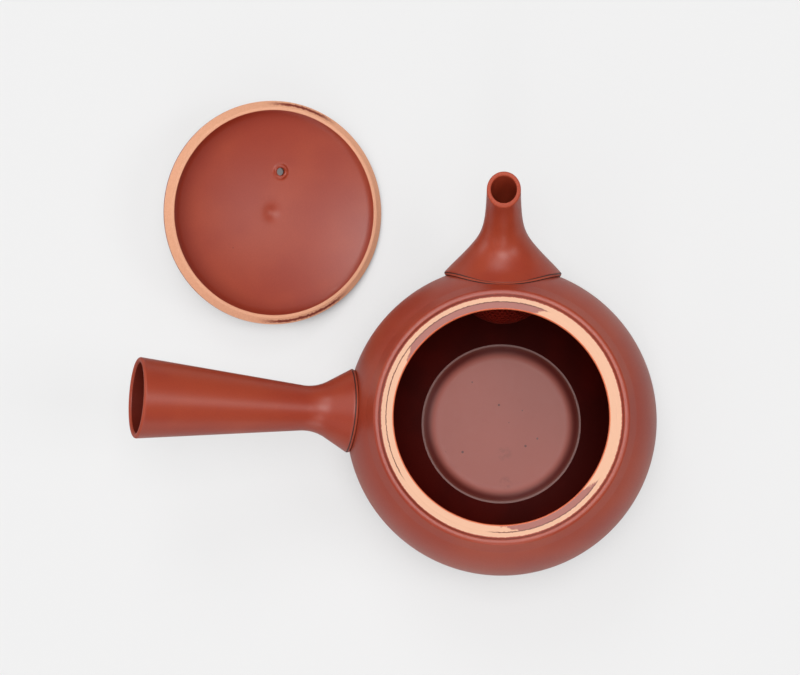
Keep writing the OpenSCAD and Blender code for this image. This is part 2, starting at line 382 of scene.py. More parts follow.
class Sheet(Nodes):
    """A material's nodes, with the surface point, the colour and the roughness so far."""

    def __init__(self, name: str) -> None:
        """Starts an empty material.

        Args:
            name: Name of the material.
        """
        self.material = bpy.data.materials.new(name)
        self.material.use_nodes = True
        super().__init__(self.material.node_tree)
        self.tree.nodes.clear()
        self.at: Value = (0, 0, 0)
        self.colour: Value = (0, 0, 0)
        self.rough: Value = 0

    def mix(self, share: Value, first: Value, second: Value) -> Socket:
        """Mixes a share of a second colour into a first one."""
        return self.add("ShaderNodeMix", {0: share, 6: first, 7: second}, data_type="RGBA").outputs[2]

    def tint(self, share: Value, colour: Value) -> None:
        """Mixes a share of a colour into the colour so far."""
        self.colour = self.mix(share, self.colour, colour)

    def roughen(self, amount: Value) -> None:
        """Adds to the roughness so far."""
        self.rough = self.plus(self.rough, amount)

    def slope(self, value: Value, low: float, high: float, first: float = 0, last: float = 1) -> Socket:
        """Turns the values from low to high softly into those from first to last."""
        ends = {"Value": value, "From Min": low, "From Max": high, "To Min": first, "To Max": last}
        return self.add("ShaderNodeMapRange", ends, interpolation_type="SMOOTHSTEP").outputs["Result"]

    def ramp(self, value: Value, ramp: Ramp, edge: float = 0) -> Socket:
        """Applies a ramp that is measured from an edge."""
        return self.slope(value, edge + ramp.start, edge + ramp.end, ramp.first, ramp.last)

    def near(self, apart: Value, half: float, soft: float, share: float = 1) -> Socket:
        """Marks where a distance is less than half a width, with a soft end."""
        return self.slope(self.math("ABSOLUTE", apart), half - soft / 2, half + soft / 2, share, 0)

    def stripe(self, value: Value, stripe: Stripe, edge: float) -> Socket:
        """Marks a stripe that is measured from an edge."""
        return self.near(self.minus(value, edge + stripe.off), stripe.half, stripe.soft, stripe.share)

    def sectors(self, angle: Value, sectors: Sequence[Point], soft: float) -> Value:
        """Marks sectors round an axis.

        Args:
            angle: The angle.
            sectors: Middle and half width of each sector.
            soft: Width of their soft ends.

        Returns:
            1 inside a sector and 0 outside.
        """
        marked: Value = 0
        for middle, half in sectors:
            apart = self.math("WRAP", self.minus(angle, middle), 180, -180)
            marked = self.math("MAXIMUM", marked, self.near(apart, half, soft))
        return marked

    def deep(self, depth: Value, wall: float) -> Socket:
        """Marks what lies more than half a wall below its outside."""
        return self.slope(depth, MIDWALL[0] * wall, MIDWALL[1] * wall)

    def grain(self, grain: Grain) -> Socket:
        """Reads a noise from 0 to 1."""
        inputs = {"Vector": self.at, "Scale": grain.scale, "Detail": grain.detail, "Roughness": grain.rough}
        return self.add("ShaderNodeTexNoise", inputs).outputs[0]

    def wander(self, grain: Grain) -> Value:
        """Reads a noise as a swing to both sides of 0."""
        return self.times(self.minus(self.grain(grain), 0.5), grain.swing)

    def specks(self, specks: Specks) -> Socket:
        """Marks scattered round specks.

        Args:
            specks: Their size and spread.

        Returns:
            1 in a speck and 0 outside.
        """
        cells = self.add("ShaderNodeTexVoronoi", {"Vector": self.at, "Scale": 1 / specks.pitch})
        chance = self.add("ShaderNodeSeparateColor", {0: cells.outputs["Color"]}).outputs[0]
        radius = self.times(self.slope(chance, 1 - specks.share, 1), specks.size / specks.pitch)
        inside = self.minus(radius, cells.outputs["Distance"])
        return self.math("MULTIPLY", inside, specks.sharp * specks.pitch / specks.size, clamp=True)

    def marked(self, name: str) -> Socket:
        """Reads the numbers that are stored on a piece."""
        return self.add("ShaderNodeAttribute", attribute_name=name).outputs["Fac"]

    def place(self, pose: Matrix) -> Socket:
        """Reads the surface point in a piece's own frame.

        Args:
            pose: The frame's place in the model, in millimetres.

        Returns:
            The point in millimetres.
        """
        inverse = pose.inverted()
        inputs = {
            "Vector": self.add("ShaderNodeTexCoord").outputs["Object"],
            "Scale": (1 / MM,) * 3,
            "Rotation": inverse.to_euler(),
            "Location": inverse.translation,
        }
        return self.add("ShaderNodeMapping", inputs, vector_type="POINT").outputs[0]

    def polar(self, place: Value) -> tuple[Socket, Socket, Socket]:
        """Splits a point into its radius, its angle in degrees and its height.

        Args:
            place: The point.

        Returns:
            Radius, angle and height.
        """
        x, y, z = self.add("ShaderNodeSeparateXYZ", {0: place}).outputs
        radius = self.math("SQRT", self.plus(self.times(x, x), self.times(y, y)))
        return radius, self.times(self.math("ARCTAN2", y, x), 180 / math.pi), z

    def close(self, relief: Value, depth: float, gloss: float) -> bpy.types.Material:
        """Ends the material in one shader.

        Args:
            relief: Height of the fine relief from 0 to 1.
            depth: Its depth.
            gloss: Strength of the mirror-like part.

        Returns:
            The material.
        """
        bump = self.add("ShaderNodeBump", {"Strength": 1, "Distance": depth * MM, "Height": relief})
        inputs = {
            "Base Color": self.colour,
            "Roughness": self.rough,
            "Specular IOR Level": gloss,
            "Normal": bump.outputs[0],
        }
        shader = self.add("ShaderNodeBsdfPrincipled", inputs)
        self.add("ShaderNodeOutputMaterial", {"Surface": shader.outputs[0]})
        return self.material


# Finishes


@dataclass(frozen=True)
class FiredClay:
    """Smooth red clay, fired without a glaze and lightly burnished."""

    name: str
    pose: Matrix = field(default_factory=lambda: Matrix.Identity(4))
    skin: Triple = srgb(158, 61, 36)
    cloud: Triple = srgb(150, 53, 32)
    speck: Triple = srgb(84, 26, 16)
    rough: float = 0.38
    gloss: float = 0.42
    fine: Grain = Grain(2.2, 4, 0.6)
    fine_tint: Ramp = Ramp(0.3, 0.7, 0, 0.12)
    fine_rough: Ramp = Ramp(0.2, 0.8, -0.04, 0.05)
    fine_depth: float = 0.012
    clouds: Grain = Grain(0.045)
    cloud_tint: Ramp = Ramp(0.35, 0.65)
    specks: Specks = Specks(5.0, 0.35, 0.25)
    speck_tint: float = 0.7
    speck_depth: float = 2.0

    def material(self) -> bpy.types.Material:
        """Builds the material.

        Returns:
            The material.
        """
        sheet = Sheet(self.name)
        sheet.at = sheet.place(self.pose)
        fine = sheet.grain(self.fine)
        specks = sheet.specks(self.specks)
        sheet.colour = self.skin
        sheet.tint(sheet.ramp(sheet.grain(self.clouds), self.cloud_tint), self.cloud)
        sheet.tint(sheet.ramp(fine, self.fine_tint), self.speck)
        sheet.tint(sheet.times(specks, self.speck_tint), self.speck)
        sheet.rough = sheet.ramp(fine, self.fine_rough)
        sheet.roughen(self.rough)
        self.zones(sheet)
        relief = sheet.minus(fine, sheet.times(specks, self.speck_depth))
        return sheet.close(relief, self.fine_depth, self.gloss)

    def zones(self, sheet: Sheet) -> None:
        """Adds what differs from place to place, which is nothing in plain clay."""


@dataclass(frozen=True)
class DullShadedClay(FiredClay):
    """Dull clay, painted dark as the shade deep inside a hollow."""

    # Dark tones: painted shade for places that little light reaches.
    skin: Triple = srgb(72, 8, 3)
    cloud: Triple = srgb(58, 6, 3)
    speck: Triple = srgb(30, 5, 3)
    rough: float = 0.6
    gloss: float = 0.05


@dataclass(frozen=True)
class PotClay(FiredClay):
    """The pot's clay, with painted shade in its room and the lid seat ground bare except along two arcs.

    Its ramps and stripes are measured from those edges of the pot that the methods name.
    """

    pot: Pot = field(kw_only=True)
    # Painted shade: the dark tone of the room's wall.
    inside: Triple = srgb(62, 11, 5)
    floor: Triple = srgb(166, 76, 60)
    # Painted shade where the floor meets the step.
    corner: Triple = srgb(84, 14, 6)
    # Painted highlight: a paler tone round the ridge that widens its own highlight.
    ridge: Triple = srgb(150, 82, 66)
    bare: Triple = srgb(223, 174, 144)
    edge: Triple = srgb(214, 98, 56)
    unground: Triple = srgb(150, 76, 62)
    # Painted shade: the dark lines in the crease at the seat's corner and on the lip's steep inner side.
    line: Triple = srgb(92, 34, 24)
    dulled: float = 0.04
    ground_rough: float = 0.25
    room_low: Ramp = Ramp(1.8, 2.4)
    room_top: Ramp = Ramp(-1.6, -0.9, 1, 0)
    floor_specks: Specks = Specks(4.5, 0.5, 0.8)
    floor_speck_tint: float = 0.9
    corner_shade_ramp: Ramp = Ramp(23.3, 26.1, 0, 0.92)
    blots: Grain = Grain(0.5, 4, 0.7)
    blot_tint: Ramp = Ramp(0.4, 0.62)
    smudges: tuple[Triple, ...] = ((1.1, -10.5, 3.2), (1.6, -20.8, 2.8))
    smudge_tint: Ramp = Ramp(0.5, 1, 0.22, 0)
    wall_low: Ramp = Ramp(-0.6, 0.6)
    painted_ridge_highlight: Stripe = Stripe(0, 0.5, 1.8, 0.5)
    top: Ramp = Ramp(-0.9, -0.5)
    wave: Grain = Grain(1.2, swing=0.5)
    tear: Grain = Grain(0.35, swing=14)
    ring: Stripe = Stripe(0, 2.0, 0.2)
    skew: float = 3.5
    seat: Ramp = Ramp(0.05, 0.2, 1, 0)
    unground_arcs: tuple[Point, ...] = ((104, 38), (-58, 24))
    unground_soft: float = 3
    seat_crease_shade: Stripe = Stripe(0.12, 0.16, 0.16, 0.9)
    crease_shade_arcs: tuple[Point, ...] = ((139, 72), (-65, 30))
    crease_shade_soft: float = 8
    lip_shade: Stripe = Stripe(0.5, 0.22, 0.2, 0.7)
    mouth_edge: Ramp = Ramp(0.25, 0.6, 0.9, 0)

    def zones(self, sheet: Sheet) -> None:
        """Adds the room, the ground seat with its unground arcs, painted shade in the lines round it and its worn
        inner edge.

        Args:
            sheet: The material's nodes.
        """
        pot = self.pot
        radius, angle, height = sheet.polar(sheet.at)
        self.room(sheet, radius, height)
        top = sheet.ramp(height, self.top, pot.seat_z)
        wavy = sheet.plus(radius, sheet.wander(self.wave))
        ring = sheet.times(top, sheet.stripe(wavy, self.ring, (pot.mouth_r + pot.gallery_r) / 2))
        torn = sheet.plus(angle, sheet.wander(self.tear))
        skewed = sheet.times(sheet.minus(radius, pot.seat_r), self.skew)
        raw: Value = 0
        for sector, bent in zip(self.unground_arcs, (sheet.plus(torn, skewed), sheet.minus(torn, skewed))):
            raw = sheet.math("MAXIMUM", raw, sheet.sectors(bent, [sector], self.unground_soft))
        raw = sheet.times(raw, sheet.ramp(wavy, self.seat, pot.seat_r))
        ground = sheet.times(ring, sheet.minus(1, raw))
        sheet.tint(sheet.times(ring, raw), self.unground)
        sheet.tint(ground, self.bare)
        # Dark lines at the seat's crease and up the lip's inner side: painted shade.
        crease_shade_sectors = sheet.sectors(angle, self.crease_shade_arcs, self.crease_shade_soft)
        sheet.tint(sheet.times(sheet.stripe(wavy, self.seat_crease_shade, pot.seat_r), crease_shade_sectors, top), self.line)
        sheet.tint(sheet.times(sheet.stripe(wavy, self.lip_shade, pot.gallery_r), top), self.line)
        sheet.tint(sheet.times(sheet.ramp(radius, self.mouth_edge, pot.mouth_r), top), self.edge)
        sheet.roughen(sheet.times(ground, self.ground_rough))

    def room(self, sheet: Sheet, radius: Value, height: Value) -> None:
        """Adds the room: a wall in painted shade, a paler ridge as a painted highlight, and a duller floor with
        specks, water marks and a corner in painted shade.

        Args:
            sheet: The material's nodes.
            radius: Distance from the pot's axis.
            height: Height above the table.
        """
        pot = self.pot
        up = sheet.minus(height, pot.belly_z)
        flat = sheet.math("MAXIMUM", sheet.minus(pot.side_r**2, sheet.times(up, up)), 0)
        depth = sheet.minus(sheet.plus(sheet.math("SQRT", flat), pot.body_r - pot.side_r), radius)
        low, below = sheet.ramp(height, self.room_low), sheet.ramp(height, self.room_top, pot.seat_z)
        inside = sheet.times(sheet.deep(depth, pot.wall), below, low)
        specks = sheet.times(sheet.specks(self.floor_specks), self.floor_speck_tint)
        tone = sheet.mix(specks, self.floor, self.speck)
        # Darker towards the step round the floor: painted shade.
        tone = sheet.mix(sheet.ramp(radius, self.corner_shade_ramp), tone, self.corner)
        blot = sheet.ramp(sheet.grain(self.blots), self.blot_tint)
        for x, y, reach in self.smudges:
            apart, _, _ = sheet.polar(sheet.place(Matrix.Translation((x, y, 0))))
            near = sheet.ramp(sheet.math("DIVIDE", apart, reach), self.smudge_tint)
            tone = sheet.mix(sheet.times(near, blot), tone, self.speck)
        # Above the ridge the wall takes the inside tone: painted shade.
        tone = sheet.mix(sheet.ramp(height, self.wall_low, pot.ridge_z), tone, self.inside)
        # A paler band round the ridge: painted highlight.
        ridge_highlight_mask = sheet.stripe(radius, self.painted_ridge_highlight, pot.step_r + pot.ridge_w / 2)
        sheet.tint(inside, sheet.mix(ridge_highlight_mask, tone, self.ridge))
        sheet.roughen(sheet.times(inside, self.dulled))


@dataclass(frozen=True)
class LidClay(FiredClay):
    """The lid's clay, with a bright ring to stand on, a ground bevel round it and painted shade in its inside
    corner.

    Its ramps and stripes are measured from those edges of the lid that the method names.
    """

    lid: Lid = field(kw_only=True)
    bright: Triple = srgb(238, 180, 146)
    bevel: Triple = srgb(214, 152, 119)
    # Painted shade in the inside corner.
    corner: Triple = srgb(112, 26, 8)
    streak: Triple = srgb(120, 44, 28)
    ground_rough: float = 0.2
    # The corner fields place the painted shade, heavier on one side.
    corner_in: float = 29.0
    corner_shift: float = 3.2
    corner_turn: float = -102
    corner_shade_share: float = 0.85
    corner_end: Ramp = Ramp(-0.4, -0.2, 1, 0)
    wave: Grain = Grain(0.8, 4, 0.7, 0.9)
    bevel_top: Ramp = Ramp(0.15, 0.45, 1, 0)
    ring_edge: Ramp = Ramp(-0.25, -0.05)
    mottle: Grain = Grain(1.5, 4, 0.7)
    mottle_tint: Ramp = Ramp(0.3, 0.7, 0, 0.3)
    flat_tint: Ramp = Ramp(-0.1, 0.25, 0.15, 0)
    tear: Grain = Grain(0.9, 5, 0.75, 1.6)
    streak_line: Stripe = Stripe(1.2, 0.45, 0.35)
    streak_arcs: tuple[Point, ...] = ((3, 15), (149.5, 21.5))
    streak_soft: float = 14

    def zones(self, sheet: Sheet) -> None:
        """Adds painted shade in the inside corner, the standing ring, the bevel and the streaks that the grinding
        left.

        Args:
            sheet: The material's nodes.
        """
        lid = self.lid
        radius, angle, height = sheet.polar(sheet.at)
        # Painted shade in the inside corner, shifted to one side.
        turn = sheet.times(sheet.minus(angle, self.corner_turn), math.pi / 180)
        across = sheet.plus(radius, sheet.times(sheet.math("COSINE", turn), self.corner_shift))
        dark = sheet.slope(across, self.corner_in, lid.inside_r + self.corner_shift, 0, self.corner_shade_share)
        dome = sheet.math("SQRT", sheet.minus(lid.dome_r**2, sheet.times(radius, radius)))
        within = sheet.deep(sheet.minus(sheet.plus(dome, lid.dome_z), height), lid.wall)
        sheet.tint(sheet.times(dark, within, sheet.ramp(radius, self.corner_end, lid.inside_r)), self.corner)
        low = sheet.ramp(sheet.plus(height, sheet.wander(self.wave)), self.bevel_top, lid.bevel_h)
        ground = sheet.times(low, sheet.ramp(radius, self.ring_edge, lid.inside_r))
        tone = sheet.mix(sheet.ramp(sheet.grain(self.mottle), self.mottle_tint), self.bevel, self.bright)
        sheet.tint(ground, sheet.mix(sheet.ramp(radius, self.flat_tint, lid.flat_r), tone, self.bright))
        torn = sheet.plus(radius, sheet.wander(self.tear))
        streaked = sheet.sectors(angle, self.streak_arcs, self.streak_soft)
        sheet.tint(sheet.times(sheet.stripe(torn, self.streak_line, lid.flat_r), streaked, ground), self.streak)
        sheet.roughen(sheet.times(ground, self.ground_rough))


@dataclass(frozen=True)
class WornRimClay(FiredClay):
    """Clay of a tube whose rim is worn to a brighter tone."""

    rim_at: float = 0
    rim_w: float = 0.9
    rim: Triple = srgb(168, 66, 38)
    bore: Triple = srgb(150, 54, 33)
    wave: Grain = Grain(0.9, swing=0.8)
    strength: float = 0.8
    worn_rough: float = 0.25

    def zones(self, sheet: Sheet) -> None:
        """Adds the darker bore and the worn rim.

        Args:
            sheet: The material's nodes.
        """
        _, _, height = sheet.polar(sheet.at)
        sheet.tint(sheet.marked(INSIDE), self.bore)
        wavy = sheet.plus(height, sheet.wander(self.wave))
        worn = sheet.slope(wavy, self.rim_at - self.rim_w, self.rim_at - self.rim_w / 2)
        sheet.tint(sheet.times(worn, self.strength), self.rim)
        sheet.roughen(sheet.times(worn, self.worn_rough))


@dataclass(frozen=True)
class DriedSlip:
    """Clay paste that has dried in a seam, with painted shade in the creases where it meets its neighbours."""

    name: str
    ridge: Triple = srgb(160, 66, 42)
    # Painted shade in the creases along both sides of the bead.
    crease: Triple = srgb(46, 14, 10)
    rough: float = 0.5
    gloss: float = 0.4
    fine: Grain = Grain(2.5, 4, 0.6)
    fine_share: float = 0.2
    fine_rough: Ramp = Ramp(0.2, 0.8, -0.05, 0.1)
    fine_depth: float = 0.03
    crease_shade_ramp: Ramp = Ramp(0.4, 0.65)

    def material(self) -> bpy.types.Material:
        """Builds the material from the crease mark on the mesh.

        Returns:
            The material.
        """
        sheet = Sheet(self.name)
        sheet.at = sheet.place(Matrix.Identity(4))
        fine = sheet.grain(self.fine)
        deep = sheet.plus(sheet.marked(CREASE), sheet.times(fine, self.fine_share))
        # Darker towards the bead's edges: painted shade in the creases.
        sheet.colour = sheet.mix(sheet.ramp(deep, self.crease_shade_ramp), self.ridge, self.crease)
        sheet.rough = sheet.ramp(fine, self.fine_rough)
        sheet.roughen(self.rough)
        return sheet.close(fine, self.fine_depth, self.gloss)


# Sub-assemblies


@dataclass
class Pot:
    """The thrown body: sizes, outline and mesh.

    Rounds are the radii of an outline's corners in order, a piece is the longest straight piece of it, and a run is
    the number of an arc's pieces that a rounding takes up.
    """

    body_r: float = 53
    rim_z: float = 62
    belly_part: float = 0.565
    side_part: float = 0.585
    foot_h: float = 1.5
    foot_in: float = 0.8
    foot_rounds: Triple = (0.5, 0.3, 0.5)
    foot_piece: float = 1.6
    wall: float = 3.6
    side_steps: int = 84
    cave_steps: int = 64
    floor_t: float = 3.8
    floor_in: float = 5.5
    floor_step: float = 1.7
    floor_step_w: float = 3.1
    floor_rounds: Triple = (0.5, 1.1, 8)
    floor_bends: int = 10
    floor_piece: float = 1.0
    ridge_w: float = 0.6
    seat_w: float = 2.4
    seat_slope_w: float = 1.8
    seat_depth: float = 0.7
    throat_h: float = 3.4
    lip_w: float = 0.9
    lip_out: float = 1.5
    lip_in: float = 1.0
    lip_drop: float = 0.45
    lip_foot: float = 0.1
    lip_run: int = 9
    mouth_rounds: tuple[float, ...] = (8, 1.2, 0.3, 0.2, 0.25, 0.4, 0.7, 0.3)
    mouth_piece: float = 0.3
    dull_shade_above: float = 0.3
    dull_shade_below: float = 1.6
    columns: int = 288

    def __post_init__(self) -> None:
        """Works out the sizes that follow from the driving ones."""
        self.belly_z = self.belly_part * self.rim_z
        self.side_r = self.side_part * self.rim_z
        self.base_r = self.side(self.foot_h) - self.foot_in
        self.lip_r = self.side(self.rim_z)
        self.gallery_r = self.lip_r - self.lip_w
        self.seat_r = self.gallery_r - self.seat_slope_w
        self.mouth_r = self.seat_r - self.seat_w
        self.seat_z = self.rim_z - self.seat_depth
        self.throat_z = self.seat_z - self.throat_h
        self.cave_r = self.body_r - self.wall
        self.floor_r = self.base_r - self.floor_in
        self.step_r = self.floor_r + self.floor_step_w
        self.ridge_z = self.floor_t + self.floor_step
        out = self.cave_r - self.step_r - self.ridge_w
        drop = self.belly_z - self.ridge_z
        self.cave_side_r = (out * out + drop * drop) / (2 * out)

    def side(self, z: float | np.ndarray) -> float | np.ndarray:
        """Outer radius at a height."""
        inside = np.maximum(self.side_r**2 - (z - self.belly_z) ** 2, 0)
        return self.body_r - self.side_r + np.sqrt(inside)

    def cave(self, z: float | np.ndarray) -> float | np.ndarray:
        """Inner radius at a height."""
        inside = np.maximum(self.cave_side_r**2 - (z - self.belly_z) ** 2, 0)
        return self.cave_r - self.cave_side_r + np.sqrt(inside)

    def normal(self, points: np.ndarray) -> np.ndarray:
        """Direction out of the pot's side.

        Args:
            points: Points on the side.

        Returns:
            The direction at each point.
        """
        radius = np.hypot(points[:, 0], points[:, 1])
        level = (1 - (self.body_r - self.side_r) / radius)[:, None] * points[:, :2]
        return unit(np.column_stack([level, points[:, 2] - self.belly_z]))

    def side_arc(self, curve: float, widest: float, low: float, high: float, steps: int) -> list[Point]:
        """Samples the outer or inner side.

        Args:
            curve: Radius of the side's arc.
            widest: Radius at the widest place.
            low: Height of the first point.
            high: Height of the last point.
            steps: Number of straight pieces.

        Returns:
            Points from the first height to the last.
        """
        start, end = (math.degrees(math.asin((z - self.belly_z) / curve)) for z in (low, high))
        return arc((widest - curve, self.belly_z), curve, start, end, steps)

    def outline(self) -> list[Point]:
        """Half outline from the middle of the base round to the middle of the floor.

        Returns:
            Radius and height of each point.
        """
        outside = self.side_arc(self.side_r, self.body_r, self.foot_h, self.rim_z, self.side_steps)
        inside = self.side_arc(self.cave_side_r, self.cave_r, self.throat_z, self.ridge_z, self.cave_steps)
        foot = rounded([(0, 0), (self.base_r, 0), (self.base_r, self.foot_h), *outside[:2]], self.foot_rounds)
        mouth = [
            *outside[-self.lip_run : 2 - self.lip_run],
            (self.lip_r + self.lip_out, self.rim_z),
            (self.gallery_r + self.lip_in, self.rim_z),
            (self.gallery_r + self.lip_foot, self.rim_z - self.lip_drop),
            (self.seat_r, self.seat_z),
            (self.mouth_r, self.seat_z),
            (self.mouth_r, self.throat_z),
            *inside[:2],
        ]
        floor = [*inside[-2:], (self.step_r, self.ridge_z), (self.floor_r, self.floor_t), (0, self.floor_t)]
        return (
            spread(foot[:-1], self.foot_piece)
            + outside[2 : -self.lip_run]
            + spread(rounded(mouth, self.mouth_rounds)[1:-1], self.mouth_piece)
            + inside[2:-2]
            + spread(rounded(floor, self.floor_rounds, self.floor_bends)[1:], self.floor_piece)
        )

    def build(self) -> Piece:
        """Makes the body."""
        return skin("pot_thrown_body", turned(self.outline(), self.columns))

    def dress(self, piece: Piece) -> None:
        """Gives the body its finish, with a duller one on the wall of its room, painted dark as shade.

        Args:
            piece: The body.
        """
        piece.data.materials.append(PotClay("pot clay", pot=self).material())
        # The wall's second finish is dull and painted dark as shade.
        piece.data.materials.append(DullShadedClay("pot inside clay").material())
        low, high = self.ridge_z + self.dull_shade_above, self.seat_z - self.dull_shade_below
        for face in piece.data.polygons:
            x, y, z = face.center / MM
            if low < z < high and math.hypot(x, y) < self.side(z) - self.wall / 2:
                face.material_index = 1


@dataclass
class Root:
    """The end of a tube that meets the pot, with the slip bead in the seam."""

    slip_t: float = 1.4
    embed: float = 1.0
    bead_half: float = 0.75
    bead_tall: float = 0.4
    bead_sink: float = 0.15
    sides: int = 16

    def bead(self, name: str, points: np.ndarray, across: np.ndarray, up: np.ndarray) -> Piece:
        """Makes a slip bead along a seam.

        Args:
            name: Name of the bead.
            points: Points of the seam, in order.
            across: At each point, the direction across the bead.
            up: At each point, the direction in which the bead bulges.

        Returns:
            The bead, with its creases marked.
        """
        turns = circle(self.sides)
        rings = []
        for turn in turns:
            bulge = self.bead_tall * math.sin(turn) - self.bead_sink
            rings.append(points + across * self.bead_half * math.cos(turn) + up * bulge)
        piece = skin(name, np.array(rings), loop=True)
        mark(piece, CREASE, np.repeat(np.abs(np.cos(turns)), len(points)))
        return piece

    def gap(self, around: np.ndarray, pressed: float) -> np.ndarray:
        """Gap between a tube's foot and the pot, closed at the top as far as the foot is pressed down there."""
        return self.slip_t * np.cos(self.roll(around, pressed))

    def roll(self, around: np.ndarray, pressed: float) -> np.ndarray:
        """Turn of the bead from standing in the gap towards lying on the pot, in radians."""
        return np.pi / 2 * pressed * np.maximum(0, np.sin(around)) ** 2

    def on_pot(self, name: str, points: np.ndarray, roll: np.ndarray, pot: Pot) -> Piece:
        """Makes the slip bead between a tube's foot and the pot.

        Args:
            name: Name of the bead.
            points: Points in order round the foot.
            roll: Turn of the bead at each point.
            pot: The pot.

        Returns:
            The bead.
        """
        normal = pot.normal(points)
        out = unit(np.cross(np.roll(points, -1, axis=0) - np.roll(points, 1, axis=0), normal))
        out *= np.sign(np.sum((points - points.mean(axis=0)) * out))
        cos, sin = np.cos(roll)[:, None], np.sin(roll)[:, None]
        across = normal * cos - out * sin
        return self.bead(name, points - across * self.slip_t / 2, across, out * cos + normal * sin)

    def sunk(self, points: np.ndarray, pot: Pot) -> np.ndarray:
        """Points straight below a tube's foot, a little inside the pot's side."""
        return points - pot.normal(points) * (self.slip_t + self.embed / 2)

    def dress(self, piece: Piece) -> None:
        """Gives a bead its finish."""
        piece.data.materials.append(DriedSlip(piece.name + " slip").material())


@dataclass
class Tube:
    """A thrown tube that stands on the pot's side.

    Depths in its wall run from 0 on the outside to that of the bore. Its lines meet the pot within the span.
    """

    pot: Pot
    root: Root
    name: str = "tube"
    span: Point = (0, 1)
    pressed: float = 0
    foot_depth: float = 0.1
    hidden_depth: float = 0.75
    bore_depth: float = 1
    columns: int = 160
    steps: int = 90
    bore_steps: int = 40

    def __post_init__(self) -> None:
        """Works out the turns of the tube's lines about its axis, in radians."""
        self.around = circle(self.columns)

    def surface(self, along: np.ndarray, depth: float) -> np.ndarray:
        """Points where each line of the tube has come to a place along the axis."""
        raise NotImplementedError

    def ends(self) -> tuple[np.ndarray, np.ndarray]:
        """Places along the axis where the outside and the bore end at the lip."""
        raise NotImplementedError

    def lip(self) -> list[np.ndarray]:
        """Rings over the lip from the outside to the bore."""
        raise NotImplementedError

    def meets_pot(self, depth: float, gap: float | np.ndarray) -> np.ndarray:
        """Finds where each line of the tube stands off the pot's side by a gap.

        Args:
            depth: Depth in the tube's wall.
            gap: The gap.

        Returns:
            The places along the axis.
        """

        def apart(along: np.ndarray) -> np.ndarray:
            """Distance beyond the gap."""
            points = self.surface(along, depth)
            return np.hypot(points[:, 0], points[:, 1]) - self.pot.side(points[:, 2]) - gap

        return solve(apart, self.columns, *self.span)

    def foot(self) -> np.ndarray:
        """Places along the axis where the outside ends above the seam."""
        return self.meets_pot(0, self.root.gap(self.around, self.pressed))

    def stretch(self, first: np.ndarray, last: np.ndarray, depth: float, count: int) -> list[np.ndarray]:
        """Even rings from one place along the axis to another."""
        return [self.surface(first + (last - first) * part, depth) for part in np.linspace(0, 1, count)]

    def build(self) -> Piece:
        """Makes the tube from its sunk foot over the outside, the lip and the bore to its hidden end.

        Returns:
            The tube, with its bore marked.
        """
        foot = self.foot()
        outer_end, bore_end = self.ends()
        bore_foot = self.meets_pot(self.bore_depth, -self.root.embed)
        hidden = self.meets_pot(self.hidden_depth, -self.root.embed)
        rings = [self.root.sunk(self.surface(foot, self.foot_depth), self.pot)]
        rings += self.stretch(foot, outer_end, 0, self.steps) + self.lip()
        outside = len(rings)
        rings += self.stretch(bore_end, bore_foot, self.bore_depth, self.bore_steps)
        rings.append(self.surface(hidden, self.hidden_depth))
        piece = skin(self.name + "_thrown_tube", np.array(rings), loop=True)
        mark(piece, INSIDE, np.repeat(np.arange(len(rings)) >= outside, self.columns))
        return piece

    def build_bead(self) -> Piece:
        """Makes the slip bead between tube and pot."""
        roll = self.root.roll(self.around, self.pressed)
        return self.root.on_pot(self.name + "_slip_bead", self.surface(self.foot(), 0), roll, self.pot)


